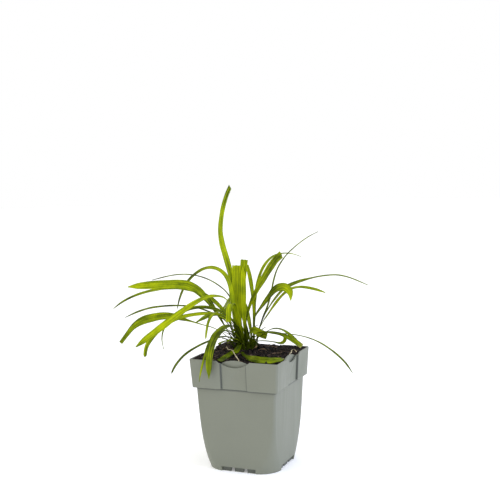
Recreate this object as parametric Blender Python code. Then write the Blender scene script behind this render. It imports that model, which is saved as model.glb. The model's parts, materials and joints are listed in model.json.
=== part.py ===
"""A young lilyturf in a square moulded nursery pot.

Sizes are in millimetres and angles in degrees; new_object turns them into metres.
The origin is the middle of the pot's base, +Z is up and the pot's sides face +X, +Y, -X and -Y.
Headings are angles in the plan, anticlockwise from +X.
"""
import math
from typing import NamedTuple

import bmesh
import bpy
from mathutils import Matrix, Vector

MM = 0.001

# Pot
POT_HEIGHT = 108.3
COLLAR_HEIGHT = 27.6
COLLAR_FOOT = POT_HEIGHT - COLLAR_HEIGHT
RIM_HALF = 45.0
COLLAR_FOOT_HALF = 43.3
BODY_TOP_HALF = 40.3
BODY_FOOT_HALF = 36.3
WALL = 1.2
TOP_CORNER_RADIUS = 2.5
FOOT_CORNER_RADIUS = 22.0
CORNER_STEPS = 6
PANEL_HALF = 12.4
PANEL_RECESS = 2.0
PANEL_STEP = 0.5
EDGE = 0.4
BODY_LEVELS = (9.0, 18.0, 29.0, 42.0, 58.0)

# Foot of the pot
FLOOR_BOTTOM = 4.5
FLOOR_TOP = 5.7
FOOT_GAP_HALF = 17.4
BASE_SETBACK = 2.0
BASE_WALL = 1.8
DRAIN_OFFSET = 6.5
DRAIN_TOP_WIDTH = 2.8
DRAIN_FOOT_WIDTH = 4.4
DRAIN_LENGTH = 10.0
PAD_RADIUS = 8.0

# Label slot at the top of each side
SMILE_HALF = 17.0
SMILE_DEPTH = 6.5
TONGUE_HALF = 13.4
TONGUE_INNER = 39.4
TONGUE_THICK = 1.2
TONGUE_RISE = 3.0
SLOT_HALF = 12.2
SLOT_WIDTH = 1.1
SLOT_FOOT = 88.0
POCKET_FOOT = 84.0

# Soil
GAP = 0.3
SOIL_CELLS = 30
SOIL_LEVEL = 107.2
MOUND = 3.2
MOUND_PLACE = (-10.0, 15.0)
MOUND_SPREAD = 15.0
HOLLOW = 2.4
HOLLOW_PLACE = (20.0, -10.0)
HOLLOW_SPREAD = 16.0
HOLE_DEPTH = 9.0

# Leaves
SHEATH_RADIUS = 2.3
SHEATH_TOP = 7.0
SHEATH_SIDES = 10
ROOT_RING = 0.9
ROOT_LIFT = 0.3
ROOT_STEP = 0.6
BLADE_THICK = 0.7
SEGMENT = 10.0
LEAST_SEGMENTS = 12
NARROW = 3.2
KEEL = 0.22
POINT_LENGTH = 11.0
BLUNT_LENGTH = 3.5
POINT_WIDTH = 0.6


class Leaf(NamedTuple):
    """One strap-like leaf. Widths, rises and rolls stand at equal steps from root to tip."""

    heading: float
    length: float
    widths: tuple
    rises: tuple
    rolls: tuple = (0, 0)
    tip: str = "point"


class Shoot(NamedTuple):
    """A sheath of leaf bases that stands in the soil, and the leaves that leave it."""

    name: str
    place: tuple
    leaves: tuple


SHOOTS = (
    Shoot("shoot_left", (-17.5, 10.5), (
        Leaf(196, 141, (1.5, 2.5, 4, 5.5, 7.8, 8.3, 8.2, 7, 4),
             (60, 61, 60, 52, 36, 2, -1, -4, -5), (0, -15, -60, -80, -85, -85)),
        Leaf(182, 173, (1.5, 3, 4.5, 5.4, 5, 4, 3.2, 2.6, 2),
             (76, 70, 46, 23, 6, -7, -15, -25, -38), (0, -25, -25, -45, -55)),
        Leaf(165, 163, (3, 4.6, 4.8, 4.4, 4.2, 4.3, 4.2, 3.7, 2.5),
             (86, 84, 82, 72, 20, -19, -40, -61, -74), (0, -25, -30, -60, -75)),
        Leaf(224, 154, (1.5, 2.5, 3.5, 4.5, 5.5, 6.1, 6.8, 6.4, 5),
             (86, 82, 73, 12, -21, -31, -33, -33, -34), (0, -10, -30, -50, -50)),
        Leaf(205, 134, (1.5, 2, 2, 2.2, 5.4, 7, 7.8, 4.6, 3.4),
             (50, 43, 20, 18, 17, -5, -18, -48, -52), (0, 0, -20, -75, -85, -85), "cut"),
        Leaf(212, 132, (2.6, 3.6, 4.2, 4.6, 5, 4.2, 4.5, 4.6, 3.6),
             (78, 74, 36, 3, -6, -21, -38, -56, -86), (0, -20, -30, -50, -60), "blunt"),
        Leaf(188, 139, (1.2, 2, 2.2, 2.2, 2.2, 2.4, 2.6, 2.6, 2),
             (72, 66, 29, 18, 5, -3, -9, -20, -26), (0, -20, -35)),
        Leaf(207, 123, (1.2, 2.5, 3, 3.4, 3.2, 2.4, 1.8, 1.4, 1),
             (78, 74, 54, 17, -2, -29, -38, -77, -104), (0, -40, -60, -60)),
        Leaf(168, 157, (1.2, 1.6, 1.8, 1.8, 1.8, 1.8, 1.8, 1.8, 1.6),
             (86, 84, 80, 38, 20, 6, -5, -13, -14), (0, 0, -15, -30)),
    )),
    Shoot("shoot_front", (-11.0, 7.5), (
        Leaf(250, 88, (1.4, 2.4, 3.2, 3.6, 4.2, 4.2, 3.8, 3.2, 2.2),
             (76, 69, 52, 33, -10, -66, -80), (0, 0), "blunt"),
        Leaf(238, 75, (1.4, 2.4, 3, 3.2, 3.6, 3.6, 2.6), (76, 71, 52, 37, 7, -17, -22), (0, -20, -45, -50)),
        Leaf(272, 76, (1.5, 3, 5, 5.5, 5.5, 5.5, 5.5), (70, 70, 64, 62, 39, -60, -85), (0, 0), "cut"),
        Leaf(232, 91, (1.5, 3, 3.6, 3.3, 2.9, 2.8, 2.8, 2.7, 2.2),
             (56, 24, -8, -16, -24, -42, -62), (0, -5, -18, -20), "blunt"),
        Leaf(259, 104, (2, 5, 7.5, 8.5, 9, 9, 8.5, 7, 4.5), (72, 64, 7, -18, -52, -83, -90)),
        Leaf(252, 97, (1.5, 3.5, 4.5, 4, 3, 2.8, 2.6, 2.4, 2), (66, 44, 8, -21, -61, -67, -76)),
        Leaf(228, 28, (1.5, 3, 4, 4), (50, 25, 0, -25), (0, 0), "cut"),
        Leaf(252, 26, (1.5, 3, 4, 3), (60, 35, 10, -30)),
        Leaf(266, 52, (2.4, 4.4, 5.6, 5.8, 5.8, 5.4), (85, -35, 1, -6, -7, 1), (0, -25, -9, -15), "cut"),
        Leaf(245, 33, (1.5, 2.5, 3.5, 4.2, 4.2), (90, 90, 91, 86, 25, -30, -31), (0, 0, 30, 60, 60), "cut"),
    )),
    Shoot("shoot_middle", (-11.0, 16.0), (
        Leaf(172, 81, (2.6, 3.2, 4, 5.5, 8, 8.8, 9, 9, 9), (72, 75, 81, 86, 90, 91, 91), (-72, -72), "cut"),
        Leaf(25, 79, (2.4, 3, 3.6, 4.6, 5.2, 5.2, 5), (97, 95, 91, 89, 91, 92), (75, 75)),
        Leaf(150, 85, (1.6, 2, 2.6, 3.6, 4.8, 6.2, 7.2), (84, 87, 88, 90, 95, 101), (-35, -35), "cut"),
        Leaf(350, 104, (1.6, 2, 3, 4.5, 5, 6.8, 8.1, 8.4, 7.4),
             (94, 92, 79, 68, 60, 56, 55, 50, 36), (10, 65, 75, 72), "cut"),
    )),
    Shoot("shoot_right", (-3.5, 18.0), (
        Leaf(132, 84, (1.6, 2, 2.4, 2.6, 2.7, 3.3, 4, 3.9, 3.2),
             (94, 95, 93, 81, 73, 61, 46), (-20, -20), "cut"),
        Leaf(28, 135, (1.2, 2.6, 3.6, 3.6, 3.1, 2.4, 1.6, 1.2, 0.8),
             (76, 73, 67, 75, 76, 59, 43, 34, 23), (20, 20)),
        Leaf(350, 93, (1.5, 2.5, 3.6, 4.8, 5.8, 6.8, 7.4, 7.4, 5.6),
             (92, 91, 84, 53, 50, 49, 24, -40, -105), (0, 30, 56, 68, 62)),
        Leaf(14, 150, (1.2, 2.6, 4, 5, 5.6, 1.9, 1.5, 1.3, 1),
             (76, 71, 58, 49, 22, 13, 3, -19, -25), (0, 30, 30)),
        Leaf(0, 108, (1.2, 2.6, 3.8, 4.2, 4.2, 3.8, 3.2, 3.6, 3.2),
             (76, 73, 57, 54, 50, 35, 4, -11, -18), (0, 20, 45, 30, 30)),
    )),
    Shoot("shoot_low", (-5.5, 9.5), (
        Leaf(345, 39, (2, 3, 4.5, 6.5, 7.2, 7), (88, 88, 97, 25, -20, -15, -5), (0, 10, 60, 72, 72), "cut"),
        Leaf(352, 70, (1.6, 2.4, 3.4, 4, 4, 3.4, 3.8, 4.5, 4.6),
             (86, 66, 30, 3, -1, -9, -21, -27, -31), (0, 0, 5, 30, 50, 50), "cut"),
        Leaf(332, 153, (1.2, 1.6, 1.8, 1.8, 1.6, 1.8, 2.1, 2.4, 2), (68, 25, 8, 4, 1, -7, -18, -28, -46)),
        Leaf(15, 43, (1.4, 2, 2.6, 2.8, 3, 3.2, 4, 4.2),
             (70, 25, 3, -3, -8, -12, 50, 112), (0, 0, 0, 0, 0, 15, 50, 70), "cut"),
        Leaf(345, 75, (1.4, 2, 2.4, 2.4, 2.2, 2, 2.8, 3.3, 3),
             (72, 42, 33, 33, 14, -10, -30, -36, -43), (0, 30)),
    )),
    Shoot("shoot_back", (-8.0, 24.5), (
        Leaf(135, 118, (1.5, 4, 6.5, 6.5, 6), (84, 66, 30, -12, -40, -60), (0, 10)),
        Leaf(146, 96, (1.5, 4, 5.5, 5.5, 5), (86, 74, 40, -5, -35, -50), (0, -15)),
        Leaf(126, 104, (1.5, 3, 4.5, 4.5, 4), (80, 58, 22, -14, -38, -58), (0, 10)),
        Leaf(62, 134, (1.4, 2.5, 3.4, 3.8, 3.7, 3.5, 2.4, 1.8, 1.2),
             (84, 84, 87, 79, 66, 42, 10, -9, -22), (0, 20)),
        Leaf(185, 166, (2, 3, 4.5, 5.5, 6.2, 6.3, 5.4, 5, 4.2),
             (74, 74, 74, 75, 75, 76, 95, 106, 118), (-55, -55, -50, -40, -45), "cut"),
    )),
)

# Loose leaf and bare roots: points as x, y and height above the soil
FALLEN_LEAF = (
    (-8, -5, 1.3), (3, -17.5, 2.6), (13.5, -27.5, 3.6), (24, -32, 3.8),
    (32.5, -28, 3.7), (37.5, -18, 2.9), (38, -9, 1.8),
)
FALLEN_ROLLS = (20, 35, 48, 50, 45, 30, 20)
FALLEN_WIDTHS = (2, 4, 6, 6.4, 6.2, 4.5, 1.5)
FALLEN_LENGTH = 66.0
FRONT_ROOT = (
    (-30, 10, 1.1), (-25, 2, 1.3), (-20, -10, 4.4), (-12, -17, 5.6),
    (-4.5, -26.5, 4.2), (1, -32, 1.3), (3, -37, 1.1),
)
RIGHT_ROOT = ((37, 8, 1.1), (36.5, 15, 1.1), (34, 24, 1.1), (37.5, 22.5, 1.1), (41, 18, 1.1))
ROOT_RADIUS = 0.5


def clear_scene():
    for old in list(bpy.data.objects):
        bpy.data.objects.remove(old)


def make_material(name, colour, roughness):
    material = bpy.data.materials.new(name)
    material.use_nodes = True
    shader = material.node_tree.nodes["Principled BSDF"]
    shader.inputs["Base Color"].default_value = (*colour, 1.0)
    shader.inputs["Roughness"].default_value = roughness
    shader.inputs["Metallic"].default_value = 0.0
    return material


def new_object(name, bm, material=None):
    """Put a bmesh that is in millimetres into the scene, in metres."""
    bmesh.ops.scale(bm, vec=(MM, MM, MM), verts=bm.verts)
    mesh = bpy.data.meshes.new(name)
    bm.to_mesh(mesh)
    bm.free()
    if material:
        mesh.materials.append(material)
    thing = bpy.data.objects.new(name, mesh)
    bpy.context.scene.collection.objects.link(thing)
    return thing


def combine(target, operation, tools, solver="EXACT"):
    """Cut, join or intersect target with all the tools at once, then remove the tools."""
    group = bpy.data.collections.new("tools")
    bpy.context.scene.collection.children.link(group)
    for tool in tools:
        bpy.context.scene.collection.objects.unlink(tool)
        group.objects.link(tool)
    step = target.modifiers.new(operation.lower(), "BOOLEAN")
    step.operation = operation
    step.operand_type = "COLLECTION"
    step.collection = group
    step.solver = solver
    material = target.data.materials[0]
    depsgraph = bpy.context.evaluated_depsgraph_get()
    target.data = bpy.data.meshes.new_from_object(target.evaluated_get(depsgraph))
    target.modifiers.clear()
    target.data.materials.clear()
    target.data.materials.append(material)
    for tool in tools:
        bpy.data.objects.remove(tool)
    bpy.data.collections.remove(group)


def spread(values, t):
    """Smooth curve through values that stand at equal steps from t = 0 to t = 1."""
    last = len(values) - 1
    place = min(max(t, 0.0), 1.0) * last
    i = min(int(place), last - 1)
    f = place - i
    start = values[i]
    end = values[i + 1]
    slope_in = (end - values[max(i - 1, 0)]) / 2
    slope_out = (values[min(i + 2, last)] - start) / 2
    blend = f * f * (3 - 2 * f)
    bend = slope_in * f * (1 - f) ** 2 - slope_out * f * f * (1 - f)
    return start + (end - start) * blend + bend


def smooth_step(t):
    t = min(max(t, 0.0), 1.0)
    return t * t * (3 - 2 * t)


def loft(outlines):
    """Closed solid: one cap face extruded from outline to outline."""
    bm = bmesh.new()
    first = [bm.verts.new(point) for point in outlines[0]]
    cap = bm.faces.new(first)
    for outline in outlines[1:]:
        cap = bmesh.ops.extrude_discrete_faces(bm, faces=[cap])["faces"][0]
        for vert, point in zip(cap.verts, outline):
            vert.co = point
    bm.faces.new(reversed(first))
    bmesh.ops.recalc_face_normals(bm, faces=bm.faces)
    return bm


def box(low, high):
    bm = bmesh.new()
    size = Vector(high) - Vector(low)
    middle = (Vector(high) + Vector(low)) / 2
    bmesh.ops.create_cube(bm, size=1.0, matrix=Matrix.Translation(middle) @ Matrix.Diagonal((*size, 1)))
    return bm


def turn_to_side(bm, side):
    """Turn a shape made for the -Y side of the pot to another side."""
    turn = Matrix.Rotation(math.radians(90 * side), 3, "Z")
    bmesh.ops.rotate(bm, cent=(0, 0, 0), matrix=turn, verts=bm.verts)


# Pot

def corner_radius(z):
    """The body's corners are nearly square at the collar and wide at the foot."""
    drop = max(0.0, 1.0 - z / COLLAR_FOOT)
    return TOP_CORNER_RADIUS + (FOOT_CORNER_RADIUS - TOP_CORNER_RADIUS) * drop**3.6


def body_half(z):
    return BODY_FOOT_HALF + (BODY_TOP_HALF - BODY_FOOT_HALF) * z / COLLAR_FOOT


def collar_slope():
    return (RIM_HALF - COLLAR_FOOT_HALF) / COLLAR_HEIGHT


def collar_half(z):
    return RIM_HALF - collar_slope() * (POT_HEIGHT - z)


def square_outline(half, radius, z, panel_half=PANEL_HALF, recess=0.0):
    """Rounded square, anticlockwise, with the middle of each side set in by recess."""
    points = []
    for side in range(4):
        turn = Matrix.Rotation(math.radians(90 * side), 3, "Z")
        for step in range(CORNER_STEPS + 1):
            angle = math.radians(180 + 90 * step / CORNER_STEPS)
            x = -half + radius + radius * math.cos(angle)
            y = -half + radius + radius * math.sin(angle)
            points.append(turn @ Vector((x, y, z)))
        points.append(turn @ Vector((-panel_half - PANEL_STEP, -half, z)))
        points.append(turn @ Vector((-panel_half, -half + recess, z)))
        points.append(turn @ Vector((panel_half, -half + recess, z)))
        points.append(turn @ Vector((panel_half + PANEL_STEP, -half, z)))
    return points


def body_outline(z, inset, panel_half=PANEL_HALF):
    return square_outline(body_half(z) - inset, corner_radius(z) - inset, z, panel_half)


def collar_outline(z, inset, panel_half, recess):
    radius = TOP_CORNER_RADIUS - inset
    return square_outline(collar_half(z) - inset, radius, z, panel_half, recess)


def pot_shell():
    inner_panel = PANEL_HALF + WALL
    outlines = [body_outline(0.0, EDGE), body_outline(EDGE, 0.0)]
    outlines += [body_outline(z, 0.0) for z in (*BODY_LEVELS, COLLAR_FOOT)]
    outlines.append(collar_outline(COLLAR_FOOT, EDGE, PANEL_HALF, PANEL_RECESS))
    outlines.append(collar_outline(COLLAR_FOOT + EDGE, 0.0, PANEL_HALF, PANEL_RECESS))
    outlines.append(collar_outline(POT_HEIGHT - EDGE, 0.0, PANEL_HALF, PANEL_RECESS))
    outlines.append(collar_outline(POT_HEIGHT, EDGE, PANEL_HALF, PANEL_RECESS))
    outlines.append(collar_outline(POT_HEIGHT, WALL - EDGE, inner_panel, PANEL_RECESS))
    outlines.append(collar_outline(POT_HEIGHT - EDGE, WALL, inner_panel, PANEL_RECESS))
    ledge = COLLAR_FOOT + WALL
    outlines.append(collar_outline(ledge, WALL, inner_panel, PANEL_RECESS))
    outlines.append(square_outline(BODY_TOP_HALF - WALL, TOP_CORNER_RADIUS - WALL, ledge, inner_panel))
    outlines += [body_outline(z, WALL, inner_panel) for z in (*reversed(BODY_LEVELS), FLOOR_TOP)]
    return loft(outlines)


def tongue_arch():
    """Points of the tongue's arched top, from +X to -X."""
    radius = (TONGUE_HALF**2 + TONGUE_RISE**2) / (2 * TONGUE_RISE)
    half_angle = math.asin(TONGUE_HALF / radius)
    steps = 8
    points = []
    for step in range(steps + 1):
        angle = half_angle * (1 - 2 * step / steps)
        points.append((radius * math.sin(angle), POT_HEIGHT - radius * (1 - math.cos(angle))))
    return points


def lean_with_collar(bm):
    """Shear a shape on the -Y side so that it follows the collar's draft."""
    for vert in bm.verts:
        vert.co.y += collar_slope() * (POT_HEIGHT - vert.co.z)


def label_pocket():
    """The inner wall of the label slot, still solid; label_slot opens it."""
    profile = [(-TONGUE_HALF, POCKET_FOOT), (TONGUE_HALF, POCKET_FOOT), *tongue_arch()]
    outer = -(RIM_HALF - PANEL_RECESS - WALL / 2)
    bm = loft([[Vector((x, y, z)) for x, z in profile] for y in (outer, -TONGUE_INNER)])
    lean_with_collar(bm)
    return bm


def label_slot():
    front = -(TONGUE_INNER + TONGUE_THICK)
    bm = box((-SLOT_HALF, front - SLOT_WIDTH, SLOT_FOOT), (SLOT_HALF, front, POT_HEIGHT + 5))
    lean_with_collar(bm)
    return bm


def rim_smile():
    """Round cutter for the dip in the outer wall's top edge."""
    radius = (SMILE_HALF**2 + SMILE_DEPTH**2) / (2 * SMILE_DEPTH)
    outer = RIM_HALF + 2
    inner = TONGUE_INNER + TONGUE_THICK + SLOT_WIDTH / 2
    bm = bmesh.new()
    upright = Matrix.Rotation(math.radians(90), 4, "X")
    place = Matrix.Translation((0, -(outer + inner) / 2, POT_HEIGHT - SMILE_DEPTH + radius))
    bmesh.ops.create_cone(
        bm,
        cap_ends=True,
        segments=64,
        radius1=radius,
        radius2=radius,
        depth=outer - inner,
        matrix=place @ upright,
    )
    return bm


def drain(offset):
    """Cutter for one drainage gap, wider at the ground, through base wall and floor."""
    outer = BODY_FOOT_HALF - BASE_SETBACK + 0.4
    bm = box((-1, -outer, -1), (1, -outer + DRAIN_LENGTH, FLOOR_TOP + 1))
    for vert in bm.verts:
        width = DRAIN_FOOT_WIDTH if vert.co.z < 0 else DRAIN_TOP_WIDTH
        vert.co.x = offset + vert.co.x * width / 2
    return bm


def make_pot(material):
    pot = new_object("pot", pot_shell(), material)
    pockets = []
    cutters = []
    hollow_half = BODY_FOOT_HALF - BASE_SETBACK - BASE_WALL
    hollow_radius = FOOT_CORNER_RADIUS - BASE_SETBACK - BASE_WALL
    hollow = [square_outline(hollow_half, hollow_radius, z) for z in (-1.0, FLOOR_BOTTOM)]
    cutters.append(new_object("hollow", loft(hollow)))
    for side in range(4):
        pocket = label_pocket()
        turn_to_side(pocket, side)
        pockets.append(new_object("pocket", pocket, material))
        foot_gap = box(
            (-FOOT_GAP_HALF, -BODY_FOOT_HALF - 2, -1),
            (FOOT_GAP_HALF, -BODY_FOOT_HALF + BASE_SETBACK, FLOOR_BOTTOM),
        )
        for cutter in (foot_gap, label_slot(), rim_smile(), drain(-DRAIN_OFFSET), drain(DRAIN_OFFSET)):
            turn_to_side(cutter, side)
            cutters.append(new_object("cutter", cutter))
    combine(pot, "UNION", pockets)
    combine(pot, "DIFFERENCE", cutters)
    pad = bmesh.new()
    bmesh.ops.create_cone(
        pad,
        cap_ends=True,
        segments=24,
        radius1=PAD_RADIUS,
        radius2=PAD_RADIUS,
        depth=FLOOR_TOP - WALL / 2,
        matrix=Matrix.Translation((0, 0, (FLOOR_TOP - WALL / 2) / 2)),
    )
    combine(pot, "UNION", [new_object("pad", pad, material)])
    return pot


# Soil

def hump(x, y, place, spread_mm):
    reach = (x - place[0]) ** 2 + (y - place[1]) ** 2
    return math.exp(-reach / (2 * spread_mm**2))


def soil_height(x, y):
    """Top of the soil: heaped round the crown and at the back, low at the front right."""
    tilt = 0.9 * (y - x) / RIM_HALF
    mound = MOUND * hump(x, y, MOUND_PLACE, MOUND_SPREAD)
    hollow = HOLLOW * hump(x, y, HOLLOW_PLACE, HOLLOW_SPREAD)
    lumps = 0.35 * math.sin(0.31 * x + 1.3) * math.cos(0.27 * y) + 0.25 * math.sin(0.5 * y + 0.22 * x)
    return SOIL_LEVEL + tilt + mound - hollow + lumps


def soil_block():
    """Deep block with the soil's surface on top."""
    half = RIM_HALF
    bm = bmesh.new()
    bmesh.ops.create_grid(bm, x_segments=SOIL_CELLS, y_segments=SOIL_CELLS, size=half)
    for vert in bm.verts:
        vert.co.z = soil_height(vert.co.x, vert.co.y)
    skin = bmesh.ops.extrude_face_region(bm, geom=bm.faces[:])
    for item in skin["geom"]:
        if isinstance(item, bmesh.types.BMVert):
            item.co.z = -1.0
    bmesh.ops.recalc_face_normals(bm, faces=bm.faces)
    return bm


def make_soil(material):
    inset = WALL + GAP
    floor = FLOOR_TOP + GAP
    ledge = COLLAR_FOOT + WALL + GAP
    notch_half = TONGUE_HALF + 2 * GAP
    notch = RIM_HALF - TONGUE_INNER + GAP - inset
    shelf = POCKET_FOOT - 2 * GAP
    top = POT_HEIGHT + 20
    outlines = [body_outline(z, inset, notch_half) for z in (floor, *BODY_LEVELS)]
    outlines.append(square_outline(BODY_TOP_HALF - inset, TOP_CORNER_RADIUS - inset, ledge, notch_half))
    panel = PANEL_RECESS + GAP
    for z, recess in ((ledge, panel), (shelf, panel), (shelf + GAP, notch), (top, notch)):
        outlines.append(collar_outline(z, inset, notch_half, recess))
    soil = new_object("soil", loft(outlines), material)
    combine(soil, "INTERSECT", [new_object("block", soil_block(), material)], "MANIFOLD")
    holes = []
    for shoot in SHOOTS:
        hole = bmesh.new()
        depth = HOLE_DEPTH + 10
        foot = soil_height(*shoot.place) - HOLE_DEPTH
        place = Matrix.Translation((*shoot.place, foot + depth / 2))
        radius = SHEATH_RADIUS + GAP
        bmesh.ops.create_cone(
            hole,
            cap_ends=True,
            segments=SHEATH_SIDES,
            radius1=radius,
            radius2=radius,
            depth=depth,
            matrix=place,
        )
        holes.append(new_object("hole", hole, material))
    combine(soil, "DIFFERENCE", holes, "MANIFOLD")
    return soil


# Leaves

def blade_width(widths, tip, t, length):
    """Width of a blade at t; a cut tip keeps it, and the others close over their last stretch."""
    width = spread(widths, t)
    left = (1 - t) * length
    if tip == "point" and left < POINT_LENGTH:
        width *= 1 - (1 - left / POINT_LENGTH) ** 1.6
    if tip == "blunt" and left < BLUNT_LENGTH:
        width *= math.sqrt(1 - (1 - left / BLUNT_LENGTH) ** 2)
    return max(width, POINT_WIDTH)


def leaf_stations(leaf, root):
    """Place, direction, side and upper face of the leaf at equal steps along it."""
    count = max(LEAST_SEGMENTS, round(leaf.length / SEGMENT))
    step = leaf.length / count
    heading = math.radians(leaf.heading)
    outward = Vector((math.cos(heading), math.sin(heading), 0))
    across = Vector((math.sin(heading), -math.cos(heading), 0))
    place = root.copy()
    stations = []
    for i in range(count + 1):
        t = i / count
        rise = math.radians(spread(leaf.rises, t))
        along = outward * math.cos(rise) + Vector((0, 0, math.sin(rise)))
        roll = Matrix.Rotation(math.radians(spread(leaf.rolls, t)), 3, along)
        side = roll @ across
        stations.append((t, place.copy(), side, side.cross(along)))
        middle = math.radians(spread(leaf.rises, t + 0.5 / count))
        place += step * (outward * math.cos(middle) + Vector((0, 0, math.sin(middle))))
    return stations


def ribbon(stations, widths, tip, length):
    """Closed blade with a keel along its middle, split alike on both faces."""
    rows = len(stations) - 1
    columns = 2 if max(widths) > NARROW else 1
    bm = bmesh.new()
    bmesh.ops.create_grid(bm, x_segments=columns, y_segments=rows, size=0.5)
    for vert in bm.verts:
        t, place, side, upper = stations[round((vert.co.y + 0.5) * rows)]
        half = blade_width(widths, tip, t, length) / 2
        u = 2 * vert.co.x
        keel = KEEL * half * (1 - abs(u)) if columns == 2 else 0.0
        vert.co = place + side * (u * half) - upper * keel
    bmesh.ops.triangulate(bm, faces=bm.faces)
    bmesh.ops.solidify(bm, geom=bm.faces[:], thickness=BLADE_THICK)
    bmesh.ops.recalc_face_normals(bm, faces=bm.faces)
    return bm


def make_shoot(shoot, material):
    ground = soil_height(*shoot.place)
    foot = ground - HOLE_DEPTH + GAP
    height = ground + SHEATH_TOP - foot
    sheath = bmesh.new()
    bmesh.ops.create_cone(
        sheath,
        cap_ends=True,
        segments=SHEATH_SIDES,
        radius1=SHEATH_RADIUS,
        radius2=SHEATH_RADIUS * 0.75,
        depth=height,
        matrix=Matrix.Translation((*shoot.place, foot + height / 2)),
    )
    node = new_object(shoot.name, sheath, material)
    blades = []
    for number, leaf in enumerate(shoot.leaves):
        heading = math.radians(leaf.heading)
        root = Vector((*shoot.place, ground + ROOT_LIFT + ROOT_STEP * (number % 4)))
        root += ROOT_RING * Vector((math.cos(heading), math.sin(heading), 0))
        blade = ribbon(leaf_stations(leaf, root), leaf.widths, leaf.tip, leaf.length)
        blades.append(new_object("blade", blade, material))
    combine(node, "UNION", blades, "MANIFOLD")
    return node


# Loose pieces on the soil

def curve_on_soil(points, count):
    """Smooth curve through points whose third value is the height above the soil."""
    line = []
    for i in range(count + 1):
        x, y, height = (spread(values, i / count) for values in zip(*points))
        line.append(Vector((x, y, soil_height(x, y) + height)))
    return line


def make_fallen_leaf(material):
    count = 14
    line = curve_on_soil(FALLEN_LEAF, count)
    stations = []
    for i, place in enumerate(line):
        along = (line[min(i + 1, count)] - line[max(i - 1, 0)]).normalized()
        level = Vector((along.y, -along.x, 0)).normalized()
        side = Matrix.Rotation(math.radians(spread(FALLEN_ROLLS, i / count)), 3, along) @ level
        stations.append((i / count, place, side, side.cross(along)))
    return new_object("fallen_leaf", ribbon(stations, FALLEN_WIDTHS, "blunt", FALLEN_LENGTH), material)


def make_root(name, points, material):
    count = 5 * len(points)
    line = curve_on_soil(points, count)
    outlines = []
    for i, place in enumerate(line):
        along = line[min(i + 1, count)] - line[max(i - 1, 0)]
        side = Vector((along.y, -along.x, 0)).normalized()
        ring = []
        for corner in range(5):
            angle = math.radians(72 * corner)
            ring.append(place + ROOT_RADIUS * (side * math.cos(angle) + Vector((0, 0, math.sin(angle)))))
        outlines.append(ring)
    return new_object(name, loft(outlines), material)


def main():
    clear_scene()
    plastic = make_material("pot_plastic", (0.26, 0.27, 0.23), 0.5)
    peat = make_material("peat", (0.022, 0.014, 0.009), 0.95)
    leaf_green = make_material("leaf_green", (0.22, 0.36, 0.02), 0.45)
    pale_root = make_material("pale_root", (0.55, 0.45, 0.28), 0.8)
    make_pot(plastic)
    make_soil(peat)
    for shoot in SHOOTS:
        make_shoot(shoot, leaf_green)
    make_fallen_leaf(leaf_green)
    make_root("front_root", FRONT_ROOT, pale_root)
    make_root("right_root", RIGHT_ROOT, pale_root)


main()
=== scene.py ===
"""Looks of a young lilyturf in a square nursery pot, laid out as a Blender add-on.

Shapes are worked out in millimetres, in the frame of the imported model: the origin is the middle
of the pot's base, +Z is up and the pot's sides face +X, +Y, -X and -Y. new_piece turns them into
metres. Headings are angles in the plan, in degrees, anticlockwise from +X.
"""
import json
import random
from math import asin, atan2, cos, exp, pi, radians, sin, sqrt, tau
from typing import NamedTuple

import bmesh
import bpy
from bpy.props import FloatProperty, FloatVectorProperty, IntProperty, PointerProperty
from mathutils import Matrix, Vector, noise

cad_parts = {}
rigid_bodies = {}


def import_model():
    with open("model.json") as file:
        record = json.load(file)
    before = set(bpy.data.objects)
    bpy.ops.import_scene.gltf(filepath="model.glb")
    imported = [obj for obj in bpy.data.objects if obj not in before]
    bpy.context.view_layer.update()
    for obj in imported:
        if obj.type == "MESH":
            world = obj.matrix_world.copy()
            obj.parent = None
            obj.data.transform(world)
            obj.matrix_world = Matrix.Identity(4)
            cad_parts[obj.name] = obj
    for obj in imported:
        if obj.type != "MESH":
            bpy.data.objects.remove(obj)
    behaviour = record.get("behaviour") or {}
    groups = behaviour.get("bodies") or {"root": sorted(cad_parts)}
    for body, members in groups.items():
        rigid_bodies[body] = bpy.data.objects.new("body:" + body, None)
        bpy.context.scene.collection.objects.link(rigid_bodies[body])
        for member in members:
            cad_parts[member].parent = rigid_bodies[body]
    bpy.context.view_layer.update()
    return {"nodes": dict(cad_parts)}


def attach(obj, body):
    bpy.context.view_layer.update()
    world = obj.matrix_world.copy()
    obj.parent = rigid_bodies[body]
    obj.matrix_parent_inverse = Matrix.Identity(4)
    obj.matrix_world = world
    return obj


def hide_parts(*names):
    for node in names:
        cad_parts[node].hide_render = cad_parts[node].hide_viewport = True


bl_info = {
    "name": "Potted Lilyturf",
    "version": (1, 0, 0),
    "blender": (4, 5, 0),
    "location": "View3D > Sidebar > Lilyturf",
    "description": "Builds the pot, the soil, the leaves and the roots of a potted lilyturf",
    "category": "Add Mesh",
}

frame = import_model()

MM = 0.001
BODY = "root"
SEED = 7

# Pot
POT_HEIGHT = 108.3
COLLAR_HEIGHT = 27.6
COLLAR_FOOT = POT_HEIGHT - COLLAR_HEIGHT
RIM_HALF = 45.0
COLLAR_FOOT_HALF = 43.3
BODY_TOP_HALF = 40.3
BODY_FOOT_HALF = 36.3
WALL = 1.2
TOP_CORNER_RADIUS = 2.5
FOOT_CORNER_RADIUS = 22.0
PANEL_HALF = 12.4
PANEL_RECESS = 2.0
PANEL_STEP = 0.5
TAB_CORNER = 2.4
BODY_STEPS = 18
ARCH_STEPS = 24
FLOOR_BOTTOM = 4.5
FLOOR_TOP = 5.7
FOOT_GAP_HALF = 17.4
BASE_SETBACK = 2.0
BASE_WALL = 1.8
DRAIN_OFFSET = 6.5
DRAIN_TOP_WIDTH = 2.8
DRAIN_FOOT_WIDTH = 4.4
DRAIN_LENGTH = 10.0
PAD_RADIUS = 8.0

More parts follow.
